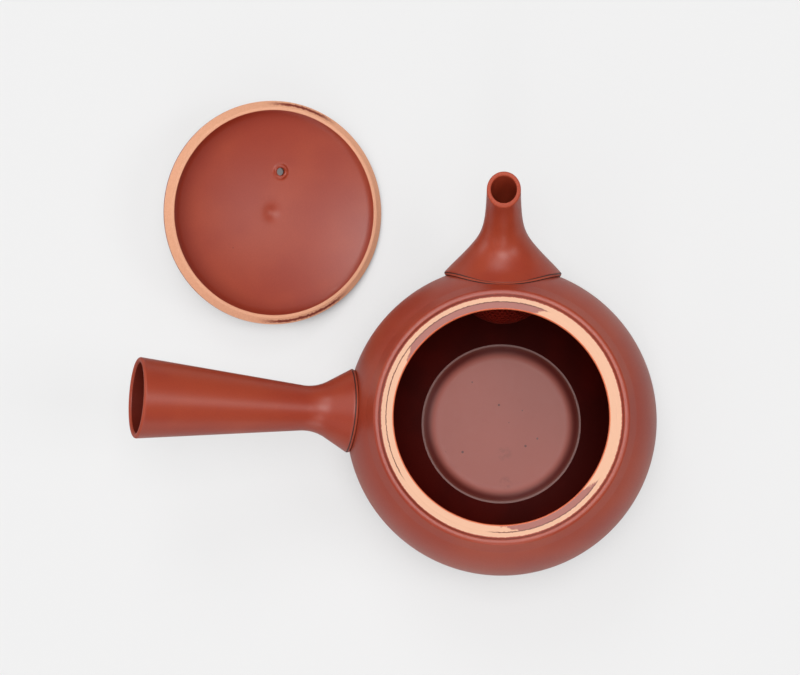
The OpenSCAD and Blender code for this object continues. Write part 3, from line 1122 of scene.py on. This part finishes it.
@dataclass
class Spout(Tube):
    """The thrown spout: a bent tube that flares towards the pot. A place along it is the rise of its axis there."""

    name: str = "spout"
    pressed: float = 0.95
    turn: float = 0.8
    out: float = 22.4
    above: float = 6.5
    end_d: float = 10
    wall: float = 1.3
    wall_gain: float = 0.1
    bend_r: float = 51
    rise: float = 70
    start: float = 17
    past: float = 78
    lean: float = 17
    squash: float = 0.16
    flare_out: float = 8.5
    flare_rate: float = 1.27
    flare_blend: float = 7
    flare_ease: float = 0.04
    rim_round: float = 0.5
    bore_round: float = 0.35
    rim_turns: tuple[float, ...] = (15, 30, 45, 60, 75, 90)
    rim_span: Point = (40, 90)

    def __post_init__(self) -> None:
        """Works out the reaches from the pot's side and lip."""
        super().__post_init__()
        self.span = (self.start, self.past)
        self.reach = self.pot.body_r + self.out
        self.tip_z = self.pot.rim_z + self.above
        self.flare_reach = self.pot.body_r + self.flare_out
        self.pose = Matrix.Rotation(math.radians(-self.turn), 4, "Z")

    def radius(self, y: np.ndarray) -> np.ndarray:
        """Outer radius.

        Args:
            y: Distance of the tube's axis from the pot's axis.

        Returns:
            The radius at each distance.
        """
        flare = self.flare_rate * (self.flare_reach - y)
        eased = self.flare_ease * np.maximum(0, self.pot.body_r - y) ** 2
        return self.end_d / 2 + (flare + np.sqrt(flare**2 + self.flare_blend**2)) / 2 - eased

    def surface(self, along: np.ndarray, depth: float) -> np.ndarray:
        """Points on the spout.

        Args:
            along: Rise of the axis at each point.
            depth: 0 for the outside and 1 for the bore.

        Returns:
            The points in the frame of the model.
        """
        angle, rise = np.radians(along), math.radians(self.rise)
        y = self.reach - self.bend_r * (math.sin(rise) - np.sin(angle))
        z = self.tip_z - self.bend_r * (np.cos(angle) - math.cos(rise))
        back = np.maximum(0, (self.rise - along) / (self.rise - self.start)) ** 2
        tilt = np.radians(along - self.lean * back)
        outer = self.radius(y)
        wide = outer - depth * (self.wall + self.wall_gain * (outer - self.end_d / 2))
        up = (wide - self.squash * back * outer) * np.sin(self.around)
        points = [wide * np.cos(self.around), y - up * np.sin(tilt), z + up * np.cos(tilt)]
        return placed(np.stack(points, axis=-1), self.pose)

    def meets_level(self, depth: float, below: float) -> np.ndarray:
        """Rise of the axis at which each line of the spout is a little below its tip."""
        level = self.tip_z - below
        return solve(lambda along: self.surface(along, depth)[:, 2] - level, self.columns, *self.rim_span)

    def ends(self) -> tuple[np.ndarray, np.ndarray]:
        """Where the outside and the bore end at the level mouth."""
        return self.meets_level(0, self.rim_round), self.meets_level(1, self.bore_round)

    def lip(self) -> list[np.ndarray]:
        """Rings over the two rounded edges of the mouth.

        Returns:
            The rings from the outside to the bore.
        """
        outer, inner = (self.surface(self.meets_level(depth, 0), depth) for depth in (0, 1))
        inwards = unit(inner - outer)
        rings = []
        for depth, bend, way, turns in (
            (0, self.rim_round, inwards, self.rim_turns),
            (1, self.bore_round, -inwards, self.rim_turns[::-1]),
        ):
            for turn in np.radians(turns):
                edge = self.surface(self.meets_level(depth, bend * (1 - math.sin(turn))), depth)
                rings.append(edge + way * bend * (1 - math.cos(turn)))
        return rings

    def dress(self, piece: Piece) -> None:
        """Gives the spout its finish."""
        piece.data.materials.append(WornRimClay("spout clay", rim_at=self.tip_z).material())


@dataclass
class Handle(Tube):
    """The thrown hollow handle, open at its far end. A place along it is a distance on its axis."""

    name: str = "handle"
    foot_depth: float = 0.2
    turn: float = 2.8
    aside: float = 0.5
    rise: float = 18.5
    drop: float = 11.5
    length: float = 74.5
    end_d: float = 27.2
    waist_out: float = 17
    waist_d: float = 15.3
    flare: float = 30
    waist_round: float = 15
    wall: float = 1.7
    lip_turns: tuple[float, ...] = (15, 30, 45, 60, 75, 90, 105, 120, 135, 150, 165)
    rim_strength: float = 0.5
    # Bore tones: painted shade inside the hollow handle.
    bore: Triple = srgb(104, 34, 22)
    bore_shade_cloud: Triple = srgb(92, 28, 18)
    columns: int = 192
    steps: int = 120

    def __post_init__(self) -> None:
        """Works out the handle's own frame and reaches."""
        super().__post_init__()
        self.bore_depth = self.wall
        self.hidden_depth = self.wall / 2
        self.reach = self.pot.body_r + self.length
        self.waist = self.pot.body_r + self.waist_out
        self.span = (self.waist / 2, self.reach)
        self.taper = math.atan((self.end_d - self.waist_d) / 2 / (self.reach - self.waist))
        self.pose = (
            Matrix.Rotation(math.radians(-self.turn), 4, "Z")
            @ Matrix.Translation((0, self.aside, self.pot.belly_z - self.drop))
            @ Matrix.Rotation(math.radians(self.rise - 90), 4, "Y")
        )

    def radius(self, along: np.ndarray, depth: float) -> np.ndarray:
        """Radius along the axis: a flare, the hollow of the waist and a straight taper.

        Args:
            along: Distance along the axis.
            depth: Distance in from the outside.

        Returns:
            The radius at each distance.
        """
        waist = self.waist_d / 2 - depth
        bend = self.waist_round + depth
        flare = math.radians(self.flare)
        low = self.waist - bend * math.sin(flare)
        high = self.waist + bend * math.sin(self.taper)
        hollow = waist + bend - np.sqrt(np.maximum(bend**2 - (along - self.waist) ** 2, 0))
        flared = waist + bend * (1 - math.cos(flare)) + (low - along) * math.tan(flare)
        high_r = waist + bend * (1 - math.cos(self.taper))
        straight = high_r + (self.end_d / 2 - depth - high_r) * (along - high) / (self.reach - high)
        return np.where(along < low, flared, np.where(along > high, straight, hollow))

    def ring(self, radius: float | np.ndarray, along: float | np.ndarray) -> np.ndarray:
        """Points round the axis in the frame of the model."""
        points = np.broadcast_arrays(radius * np.cos(self.around), radius * np.sin(self.around), along)
        return placed(np.stack(points, axis=-1), self.pose)

    def surface(self, along: np.ndarray, depth: float) -> np.ndarray:
        """Points on the handle."""
        return self.ring(self.radius(along, depth), along)

    def ends(self) -> tuple[np.ndarray, np.ndarray]:
        """Where the outside and the bore end, both at the handle's reach."""
        end = np.full(self.columns, self.reach)
        return end, end

    def lip(self) -> list[np.ndarray]:
        """Rings over the round lip from the outside to the bore."""
        turns, half, middle = np.radians(self.lip_turns), self.wall / 2, (self.end_d - self.wall) / 2
        return [self.ring(middle + half * math.cos(t), self.reach + half * math.sin(t)) for t in turns]

    def dress(self, piece: Piece) -> None:
        """Gives the handle its finish, with a dull one in its bore, painted dark as shade.

        Args:
            piece: The handle.
        """
        rim_at = self.reach + self.wall / 2
        finish = WornRimClay("handle clay", pose=self.pose, rim_at=rim_at, strength=self.rim_strength)
        piece.data.materials.append(finish.material())
        bore = DullShadedClay("handle bore clay", skin=self.bore, cloud=self.bore_shade_cloud)
        piece.data.materials.append(bore.material())
        inside = piece.data.attributes[INSIDE].data
        for face in piece.data.polygons:
            if all(inside[corner].value > 0.5 for corner in face.vertices):
                face.material_index = 1


@dataclass
class Piercing:
    """A node tree that pierces a dome with staggered rows of holes."""

    dome_r: float
    wall: float
    hole_d: float
    pitch: float
    reach: float
    hole_sides: int = 10
    rows_per_reach: float = 2.6
    drill_walls: float = 3
    least: float = 1e-6

    def sizes(self) -> dict[str, float]:
        """Sizes for the tree's inputs, in metres."""
        sizes = (self.dome_r, self.wall, self.hole_d, self.pitch, self.reach)
        return dict(zip(("Dome Radius", "Wall", "Hole Diameter", "Pitch", "Reach"), (size * MM for size in sizes)))

    def tree(self) -> bpy.types.NodeTree:
        """Builds the node tree: a staggered grid is wrapped on the dome and holds drills that pierce it.

        Returns:
            The tree, with named inputs for its sizes.
        """
        tree = bpy.data.node_groups.new("pierced dome", "GeometryNodeTree")
        kinds = {"Dome": "Geometry", **dict.fromkeys(self.sizes(), "Float"), "Finish": "Material"}
        for name, kind in kinds.items():
            tree.interface.new_socket(name, in_out="INPUT", socket_type="NodeSocket" + kind)
        tree.interface.new_socket("Pierced Dome", in_out="OUTPUT", socket_type="NodeSocketGeometry")
        net = Nodes(tree)
        given = net.add("NodeGroupInput").outputs
        dome_r, pitch, reach = given["Dome Radius"], given["Pitch"], given["Reach"]

        row_step = net.times(pitch, math.sqrt(3) / 2)
        half_rows = net.math("CEIL", net.math("DIVIDE", reach, pitch))
        spans = net.times(half_rows, self.rows_per_reach)
        rows = net.plus(spans, 1)
        sizes = {"Size X": net.times(spans, pitch), "Size Y": net.times(spans, row_step)}
        grid = net.add("GeometryNodeMeshGrid", {**sizes, "Vertices X": rows, "Vertices Y": rows}).outputs["Mesh"]
        position = net.add("GeometryNodeInputPosition").outputs[0]
        x, y, _ = net.add("ShaderNodeSeparateXYZ", {0: position}).outputs
        odd = net.math("ABSOLUTE", net.math("MODULO", net.math("ROUND", net.math("DIVIDE", y, row_step)), 2))
        shift = net.add("ShaderNodeCombineXYZ", {0: net.times(odd, pitch, 0.5)}).outputs[0]
        stagger = net.add("GeometryNodeSetPosition", {"Geometry": grid, "Offset": shift}).outputs[0]

        away = net.add("ShaderNodeVectorMath", {0: position}, operation="LENGTH").outputs["Value"]
        far = {"Geometry": stagger, "Selection": net.math("GREATER_THAN", away, reach)}
        kept = net.add("GeometryNodeDeleteGeometry", far, domain="POINT").outputs[0]
        lean = net.math("DIVIDE", away, dome_r)
        level = net.times(net.math("SINE", lean), dome_r)
        draw = net.math("DIVIDE", level, net.math("MAXIMUM", away, self.least))
        ball = {0: net.times(x, draw), 1: net.times(y, draw), 2: net.times(net.math("COSINE", lean), dome_r)}
        on_ball = net.add("ShaderNodeCombineXYZ", ball).outputs[0]
        wrap = net.add("GeometryNodeSetPosition", {"Geometry": kept, "Position": on_ball}).outputs[0]

        aim = net.add("FunctionNodeAlignRotationToVector", {"Vector": position}, axis="Z").outputs[0]
        radius, length = net.times(given["Hole Diameter"], 0.5), net.times(given["Wall"], self.drill_walls)
        round_rod = {"Vertices": self.hole_sides, "Radius": radius, "Depth": length}
        rod = net.add("GeometryNodeMeshCylinder", round_rod).outputs["Mesh"]
        spots = {"Points": wrap, "Instance": rod, "Rotation": aim}
        rods = net.add("GeometryNodeInstanceOnPoints", spots).outputs[0]
        drills = net.add("GeometryNodeRealizeInstances", {0: rods}).outputs[0]
        both = {0: given["Dome"], 1: drills}
        carve = net.add("GeometryNodeMeshBoolean", both, operation="DIFFERENCE", solver="MANIFOLD").outputs[0]
        real = net.add("GeometryNodeRealizeInstances", {0: carve}).outputs[0]
        finish = net.add("GeometryNodeSetMaterial", {"Geometry": real, "Material": given["Finish"]}).outputs[0]
        net.add("NodeGroupOutput", {0: finish})
        return tree

    def apply(self, piece: Piece, finish: bpy.types.Material) -> None:
        """Pierces a dome and leaves it a plain mesh.

        Args:
            piece: The dome, its axis on Z and its middle at the origin.
            finish: Its material.
        """
        modifier = piece.modifiers.new("piercing", "NODES")
        modifier.node_group = self.tree()
        values = {**self.sizes(), "Finish": finish}
        for socket in modifier.node_group.interface.items_tree:
            if socket.name in values:
                modifier[socket.identifier] = values[socket.name]
        settle(piece, modifier)


@dataclass
class Strainer:
    """The pierced dome over the hole behind the spout."""

    pot: Pot
    spout: Spout
    up: float = 0.8
    hole_d: float = 25
    hole_sides: int = 96
    drill_past: float = 1
    over: float = 4.5
    wall: float = 2.0
    out: float = 0.4
    drain_d: float = 1.0
    pitch: float = 1.75
    reach: float = 12.5
    columns: int = 96
    outer_rings: int = 40
    inner_rings: int = 30
    embed: float = 0.9
    span: Point = (0.3, 1.9)
    ring_off: float = 0.5
    ring_step: float = 0.02
    ring: Root = field(default_factory=lambda: Root(bead_half=0.8, bead_sink=0.2))
    # Dark tones: painted shade deep inside the pot.
    skin: Triple = srgb(112, 22, 12)
    cloud: Triple = srgb(92, 16, 9)

    def __post_init__(self) -> None:
        """Works out the dome's size and place."""
        spout = self.spout
        drop = math.cos(math.radians(spout.start)) - math.cos(math.radians(spout.rise))
        self.z = spout.tip_z - spout.bend_r * drop + self.up
        self.dome_r = self.hole_d / 2 + self.over
        self.around = circle(self.columns)
        self.pose = (
            spout.pose
            @ Matrix.Translation((0, self.pot.cave_r + self.out, self.z))
            @ Matrix.Rotation(math.radians(90), 4, "X")
        )

    def open_wall(self, body: Piece) -> None:
        """Cuts the hole behind the spout through the pot's wall."""
        reaches = (self.pot.body_r / 2, self.pot.body_r + self.drill_past)
        drill(body, self.hole_d / 2, *(self.spout.pose @ Vector((0, y, self.z)) for y in reaches), self.hole_sides)

    def shell(self, radius: float, low: np.ndarray) -> np.ndarray:
        """Points on a ball about the dome's middle, in its own frame."""
        flat = radius * np.sin(low)
        return np.stack([flat * np.cos(self.around), flat * np.sin(self.around), radius * np.cos(low)], axis=-1)

    def meets_wall(self, radius: float, depth: float) -> np.ndarray:
        """Finds where the dome lies a depth inside the pot's wall.

        Args:
            radius: Radius of the dome's outer or inner face.
            depth: The depth.

        Returns:
            The angles from the dome's axis, in radians.
        """

        def inside(low: np.ndarray) -> np.ndarray:
            """Depth in the wall."""
            points = placed(self.shell(radius, low), self.pose)
            return np.hypot(points[:, 0], points[:, 1]) - self.pot.cave(points[:, 2]) - depth

        return solve(inside, self.columns, *self.span)

    def build(self) -> Piece:
        """Makes the dome and pierces it.

        Returns:
            The strainer.
        """
        inner_r = self.dome_r - self.wall
        outer, inner = (self.meets_wall(radius, self.embed) for radius in (self.dome_r, inner_r))
        rings = [self.shell(self.dome_r, outer * part) for part in np.linspace(0, 1, self.outer_rings)]
        rings += [self.shell(inner_r, inner * part) for part in np.linspace(1, 0, self.inner_rings)]
        piece = skin("strainer_pierced_dome", np.array(rings))
        finish = DullShadedClay("strainer clay", skin=self.skin, cloud=self.cloud)
        piercing = Piercing(self.dome_r, self.wall, self.drain_d, self.pitch, self.reach)
        piercing.apply(piece, finish.material())
        piece.data.transform(Matrix.Translation(self.pose.translation * MM) @ self.pose.to_3x3().to_4x4())
        return piece

    def build_ring(self) -> Piece:
        """Makes the slip ring along the dome's edge.

        Returns:
            The ring.
        """
        edge = self.meets_wall(self.dome_r, -self.ring_off)
        points = self.shell(self.dome_r, edge)
        along = unit(points - self.shell(self.dome_r, edge + self.ring_step))
        turn = np.array(self.pose.to_3x3()).T
        return self.ring.bead("strainer_slip_ring", placed(points, self.pose), along @ turn, unit(points) @ turn)


@dataclass
class Lid:
    """The loose lid with its ball knob, upside down beside the pot.

    Rounds, pieces and runs are as in the pot. The worked rings are those that the burr and the dimple shape.
    """

    pot: Pot
    play: float = 0.8
    ring_in: float = 1.2
    flat_w: float = 0.9
    bevel_h: float = 1.6
    height: float = 8
    edge_h: float = 3.7
    edge_round: float = 1.2
    wall: float = 2.2
    inside_step: float = 1.2
    inside_draw: float = 1.4
    rim_rounds: tuple[float, ...] = (0.25, 0.2, 0.25, 5.3)
    rim_piece: float = 0.25
    dome_steps: int = 44
    edge_steps: int = 8
    ceiling_steps: int = 96
    rim_run: int = 8
    vent_reach: float = 14.9
    vent_d: float = 2.8
    vent_turn: float = 78
    vent_sides: int = 48
    drill_past: float = 2
    burr_h: float = 0.55
    burr_r: float = 2.0
    burr_w: float = 0.5
    burr_lobes: int = 3
    burr_uneven: float = 0.35
    dimple_depth: float = 0.55
    dimple_r: float = 2.6
    worked_rings: int = 85
    knob_d: float = 11
    knob_sink: float = 2
    knob_steps: int = 48
    knob_columns: int = 128
    slip_t: float = 1.4
    slip_groove: float = 0.35
    slip_lift: float = 0.1
    slip_steps: int = 12
    slip_columns: int = 96
    # Crease mark for the whole disc, which gives it the slip's painted crease shade.
    slip_crease: float = 0.8
    overlap: float = 0.2
    clear: float = 16
    bearing: float = 137
    lean_bearing: float = -18
    columns: int = 288

    def __post_init__(self) -> None:
        """Works out the lid's outline and how it rests on its knob and its edge."""
        self.r = self.pot.gallery_r - self.play
        self.flat_r = self.pot.seat_r - self.ring_in
        self.inside_r = self.flat_r - self.flat_w
        rise = self.height - self.edge_h
        self.dome_r = (rise**2 + self.r**2) / (2 * rise)
        self.dome_z = self.height - self.dome_r
        self.edge_r = self.r - self.edge_round
        self.edge_z = self.dome_z + math.sqrt((self.dome_r - self.edge_round) ** 2 - self.edge_r**2)
        self.ceiling_h = self.height - self.wall
        self.ceiling_edge_r = self.inside_r - self.inside_draw
        drop = self.ceiling_h - self.inside_step
        self.ceiling_r = (drop**2 + self.ceiling_edge_r**2) / (2 * drop)
        self.knob_r = self.knob_d / 2
        self.knob_z = self.height - self.knob_sink + self.knob_r
        self.slip_r = self.dome_r + self.slip_t / 2
        tall = self.knob_z - self.edge_z
        lean = math.asin((self.knob_r - self.edge_round) / math.hypot(self.edge_r, tall))
        lean += math.atan(tall / self.edge_r)
        away = self.pot.body_r + self.r + self.clear
        bearing = math.radians(self.bearing)
        rest = (away * math.cos(bearing), away * math.sin(bearing), self.knob_r + self.knob_z * math.cos(lean))
        self.pose = (
            Matrix.Translation(rest)
            @ Matrix.Rotation(math.radians(self.lean_bearing), 4, "Z")
            @ Matrix.Rotation(math.pi + lean, 4, "Y")
            @ Matrix.Rotation(math.radians(180 + self.lean_bearing - self.vent_turn), 4, "Z")
        )

    def outline(self) -> list[Point]:
        """Half outline from the top of the dome round to the middle of the ceiling.

        Returns:
            Radius and height of each point, with the standing ring on height 0.
        """
        touch = self.edge_r * self.dome_r / (self.dome_r - self.edge_round)
        tilt = math.degrees(math.asin(touch / self.dome_r))
        lean = math.degrees(math.asin(self.ceiling_edge_r / self.ceiling_r))
        dome = arc((0, self.dome_z), self.dome_r, 90, 90 - tilt, self.dome_steps)
        edge = arc((self.edge_r, self.edge_z), self.edge_round, 90 - tilt, 0, self.edge_steps)
        ceiling = arc((0, self.ceiling_h - self.ceiling_r), self.ceiling_r, 90 - lean, 90, self.ceiling_steps)
        ring = [(self.r, self.bevel_h), (self.flat_r, 0), (self.inside_r, 0)]
        rim = rounded([edge[-1], *ring, ceiling[0], ceiling[self.rim_run]], self.rim_rounds)
        rim = spread(rim[:-1], self.rim_piece)
        return [(0, self.height)] + dome[1:] + edge[1:-1] + rim + ceiling[self.rim_run + 1 :]

    def build(self) -> Piece:
        """Makes the lid with its steam hole, the burr round it and the dimple in the middle.

        Returns:
            The lid.
        """
        rings = turned(self.outline(), self.columns)
        x, y = rings[:, :, 0], rings[:, :, 1]
        burr = self.burr_h * np.exp(-(((np.hypot(x - self.vent_reach, y) - self.burr_r) / self.burr_w) ** 2))
        burr *= 1 + self.burr_uneven * np.sin(self.burr_lobes * np.arctan2(y, x - self.vent_reach))
        dimple = self.dimple_depth * np.exp(-((np.hypot(x, y) / self.dimple_r) ** 2))
        rings[-self.worked_rings :, :, 2] += (dimple - burr)[-self.worked_rings :]
        rings[-1] = rings[-1].mean(axis=0)
        piece = skin("lid_thrown_dome", placed(rings, self.pose))
        heights = (-self.drill_past, self.height + self.drill_past)
        ends = (self.pose @ Vector((self.vent_reach, 0, z)) for z in heights)
        drill(piece, self.vent_d / 2, *ends, self.vent_sides)
        return piece

    def dress(self, piece: Piece) -> None:
        """Gives the lid its finish."""
        piece.data.materials.append(LidClay("lid clay", pose=self.pose, lid=self).material())

    def ball_foot(self, radius: float) -> float:
        """Angle below which a ball at the knob's place is in the slip.

        Args:
            radius: Radius of the ball.

        Returns:
            The angle above its level.
        """
        gap = self.knob_z - self.dome_z
        along = (self.slip_r**2 - radius**2 + gap**2) / (2 * gap)
        return math.degrees(math.asin((self.dome_z + along - self.knob_z) / radius))

    def build_knob(self) -> Piece:
        """Makes the ball knob."""
        ball = arc((0, self.knob_z), self.knob_r, 90, self.ball_foot(self.knob_r), self.knob_steps)
        outline = ball + [(0, self.dome_z + self.slip_r - self.overlap)]
        return skin("lid_ball_knob", placed(turned(outline, self.knob_columns), self.pose))

    def build_disc(self) -> Piece:
        """Makes the slip disc under the knob, of which only the edge shows, painted dark as the shade in that
        crease.

        Returns:
            The disc.
        """
        r = self.knob_r - self.slip_groove
        half = math.degrees(math.asin(r * math.cos(math.radians(self.ball_foot(r))) / self.slip_r))
        middle = (0, self.dome_z)
        upper = arc(middle, self.slip_r + self.slip_lift, 90, 90 - half, self.slip_steps)
        lower = arc(middle, self.dome_r - self.overlap, 90 - half - self.overlap, 90, self.slip_steps)
        piece = skin("knob_slip_disc", placed(turned(upper + lower, self.slip_columns), self.pose))
        mark(piece, CREASE, np.full(len(piece.data.vertices), self.slip_crease))
        return piece


# The studio


@dataclass(frozen=True)
class SoftBox:
    """A wide lamp that faces the teapot. Its tone is the light that its face gives."""

    name: str
    tone: float
    wide: float
    deep: float
    at: Triple

    def hang(self) -> None:
        """Adds the lamp."""
        lamp = bpy.data.lights.new(self.name, "AREA")
        lamp.shape = "RECTANGLE"
        lamp.size = self.wide * MM
        lamp.size_y = self.deep * MM
        lamp.energy = self.tone * math.pi * lamp.size * lamp.size_y
        hung = bpy.data.objects.new(self.name, lamp)
        hung.location = Vector(self.at) * MM
        hung.rotation_euler = (-hung.location).to_track_quat("-Z", "Y").to_euler()
        bpy.context.scene.collection.objects.link(hung)


@dataclass
class Studio:
    """Floor, lamps, sky and camera."""

    camera_at: Triple = (-0.87, -41.4, 1000)
    camera_aim: Triple = (-35.84, 30.95, 0)
    lens: float = 127.0
    sensor: float = 36
    floor_half: float = 3000
    floor_drop: float = 0.15
    floor_tone: float = 0.871
    bounce_tone: float = 0.58
    shade_share: float = 0.3
    floor_light: float = 1.16
    cover_reach: float = 40
    cover: Ramp = Ramp(0.25, 0.7, 0.25, 1)
    sky: float = 0.15
    lamps: tuple[SoftBox, ...] = (
        SoftBox("overhead soft box", 8.2, 900, 900, (0, 150, 2200)),
        SoftBox("ceiling", 0.9, 3000, 2400, (-600, 800, 2600)),
        SoftBox("right soft box", 5.0, 950, 1100, (1650, -150, 2300)),
        SoftBox("back soft box", 4.0, 900, 900, (-400, 1500, 2000)),
        SoftBox("low fill", 0.8, 1200, 1200, (-1500, -1500, 1300)),
        SoftBox("left strip", 3.5, 1600, 600, (-2500, 300, 500)),
        SoftBox("front soft box", 3.0, 500, 1800, (0, -1550, 1500)),
        SoftBox("front strip", 3.5, 1400, 600, (0, -2600, 300)),
    )

    def build(self) -> None:
        """Sets up everything that is not the teapot."""
        self.floor()
        for lamp in self.lamps:
            lamp.hang()
        self.world()
        self.camera()
        bpy.context.scene.view_settings.view_transform = "Standard"

    def floor(self) -> None:
        """Lays a plain pale floor."""
        half = self.floor_half * MM
        low = -self.floor_drop * MM
        mesh = bpy.data.meshes.new("floor")
        corners = [(-half, -half, low), (half, -half, low), (half, half, low), (-half, half, low)]
        mesh.from_pydata(corners, [], [(0, 1, 2, 3)])
        floor = bpy.data.objects.new("floor", mesh)
        bpy.context.scene.collection.objects.link(floor)
        mesh.materials.append(self.floor_finish())

    def floor_finish(self) -> bpy.types.Material:
        """A pale floor that shows the camera an even tone under a light shadow.

        Returns:
            The material.
        """
        sheet = Sheet("pale floor")
        real = sheet.add("ShaderNodeBsdfDiffuse", {"Color": grey(self.bounce_tone)})
        shade = grey(self.floor_tone * self.shade_share / self.floor_light)
        shaded = sheet.add("ShaderNodeBsdfDiffuse", {"Color": shade})
        open_sky = sheet.add("ShaderNodeAmbientOcclusion", {"Distance": self.cover_reach * MM}).outputs["AO"]
        strength = sheet.times(sheet.ramp(open_sky, self.cover), 1 - self.shade_share)
        even = sheet.add("ShaderNodeEmission", {"Color": grey(self.floor_tone), "Strength": strength})
        seen = sheet.add("ShaderNodeAddShader", {0: shaded.outputs[0], 1: even.outputs[0]})
        sheet.add("ShaderNodeOutputMaterial", {"Surface": sheet.for_camera(seen, real)})
        return sheet.material

    def world(self) -> None:
        """Fills the room with even light and shows the floor's tone to the camera."""
        world = bpy.data.worlds.new("even light")
        world.use_nodes = True
        net = Nodes(world.node_tree)
        net.tree.nodes.clear()
        light = net.add("ShaderNodeBackground", {"Color": grey(1), "Strength": self.sky})
        seen = net.add("ShaderNodeBackground", {"Color": grey(self.floor_tone), "Strength": 1})
        net.add("ShaderNodeOutputWorld", {"Surface": net.for_camera(seen, light)})
        bpy.context.scene.world = world

    def camera(self) -> None:
        """Stands the camera above, with the spout up in the picture."""
        data = bpy.data.cameras.new("camera")
        data.lens = self.lens
        data.sensor_width = self.sensor
        camera = bpy.data.objects.new("camera", data)
        at = Vector(self.camera_at) * MM
        back = (at - Vector(self.camera_aim) * MM).normalized()
        right = Vector((0, 1, 0)).cross(back).normalized()
        turn = Matrix((right, back.cross(right), back)).transposed().to_4x4()
        camera.matrix_world = Matrix.Translation(at) @ turn
        bpy.context.scene.collection.objects.link(camera)
        bpy.context.scene.camera = camera


def hand_over(piece: Piece, body: Body, slot: Slot, *nodes: str) -> None:
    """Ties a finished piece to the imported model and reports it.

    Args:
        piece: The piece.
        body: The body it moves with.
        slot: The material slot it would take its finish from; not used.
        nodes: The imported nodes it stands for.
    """
    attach(piece, body.value)
    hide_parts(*nodes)
    log.info("%s: %d faces, stands for %s", piece.name, len(piece.data.polygons), ", ".join(nodes))


def main() -> None:
    """Builds the teapot piece by piece and sets up the studio."""
    pot = Pot()
    root = Root()
    spout = Spout(pot, root)
    handle = Handle(pot, root)
    strainer = Strainer(pot, spout)
    lid = Lid(pot)

    body = pot.build()
    strainer.open_wall(body)
    pot.dress(body)
    hand_over(body, Body.POT, Slot.CLAY, "pot_body")

    for tube, node, seam in ((spout, "spout", "spout_slip_seam"), (handle, "handle", "handle_slip_seam")):
        piece = tube.build()
        tube.dress(piece)
        hand_over(piece, Body.POT, Slot.CLAY, node)
        bead = tube.build_bead()
        root.dress(bead)
        hand_over(bead, Body.POT, Slot.SLIP, seam)

    hand_over(strainer.build(), Body.POT, Slot.DARK_CLAY, "strainer")
    ring = strainer.build_ring()
    root.dress(ring)
    hand_over(ring, Body.POT, Slot.SLIP, "strainer_slip_seam")

    dome = lid.build()
    lid.dress(dome)
    hand_over(dome, Body.LID, Slot.CLAY, "lid")
    knob = lid.build_knob()
    knob.data.materials.append(FiredClay("knob clay", pose=lid.pose).material())
    hand_over(knob, Body.LID, Slot.CLAY, "lid_knob")
    disc = lid.build_disc()
    root.dress(disc)
    hand_over(disc, Body.LID, Slot.SLIP, "knob_slip_seam")

    Studio().build()


if __name__ == "__main__":
    main()
